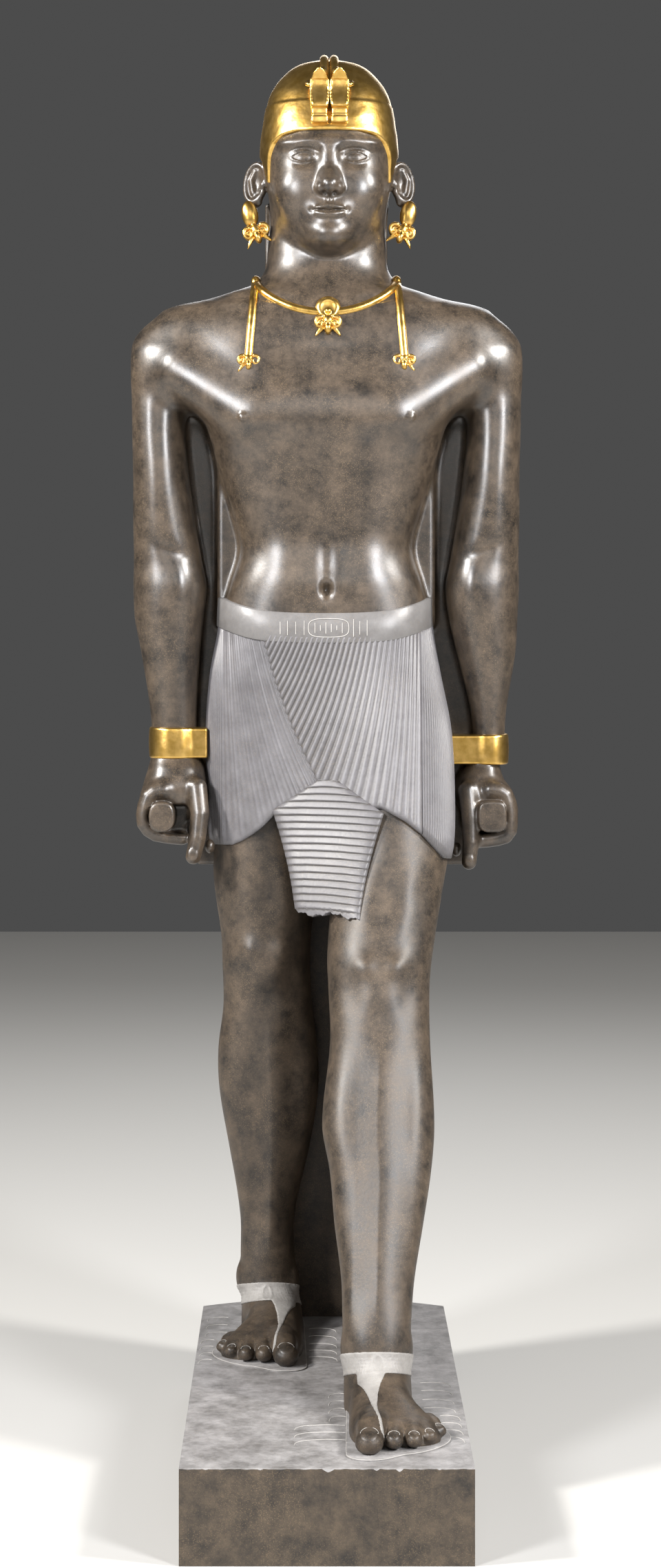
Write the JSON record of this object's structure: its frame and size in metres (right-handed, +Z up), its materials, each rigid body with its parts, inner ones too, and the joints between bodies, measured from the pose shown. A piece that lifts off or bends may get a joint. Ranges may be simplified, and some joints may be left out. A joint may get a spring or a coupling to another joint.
{
  "type": "striding pharaoh statue",
  "caption": "Striding stone statue of an Egyptian king in cap crown and pleated kilt, carved together with its back pillar and plinth, with gilded jewellery.",
  "frame": {"origin": "centre of the plinth's underside", "axes": "+Z up, the figure looks towards -Y, and +X is on the viewer's right"},
  "size_m": [0.7864, 1.2, 2.7325],
  "materials": {
    "polished_stone": "polished dark brown-grey granite with fine pale speckles",
    "rough_stone": "the same granite left matt and pale grey for the kilt, belt, sandals and fine lines",
    "gold_leaf": "gold leaf over the carved crown, cobras, earrings, necklace and bracelets"
  },
  "bodies": {
    "root": {"striding_pharaoh_statue": "polished_stone"}
  },
  "joints": []
}
